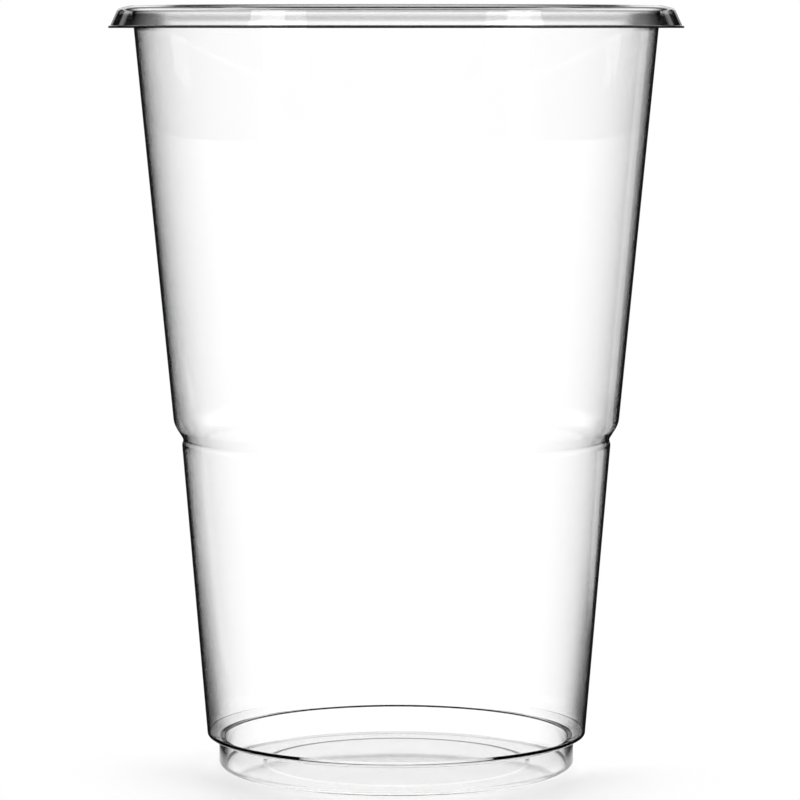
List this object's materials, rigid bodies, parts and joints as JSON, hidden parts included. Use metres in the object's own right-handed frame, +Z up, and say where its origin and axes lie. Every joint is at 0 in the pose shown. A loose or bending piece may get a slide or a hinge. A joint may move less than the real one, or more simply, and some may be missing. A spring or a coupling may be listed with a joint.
{
  "type": "disposable plastic tumbler",
  "caption": "Clear one-piece disposable tumbler with a short foot, sloping stacking shoulder, stepped waist and folded drinking rim.",
  "frame": {"origin": "middle of the foot, on the surface that the cup stands on", "axes": "+Z up along the cup's axis, out of its mouth; X and Y are any two level directions, because the cup is round"},
  "size_m": [0.077, 0.077, 0.1028],
  "materials": {
    "clear_plastic": "clear, smooth and glossy"
  },
  "bodies": {
    "root": {"cup": "clear_plastic"}
  },
  "joints": []
}
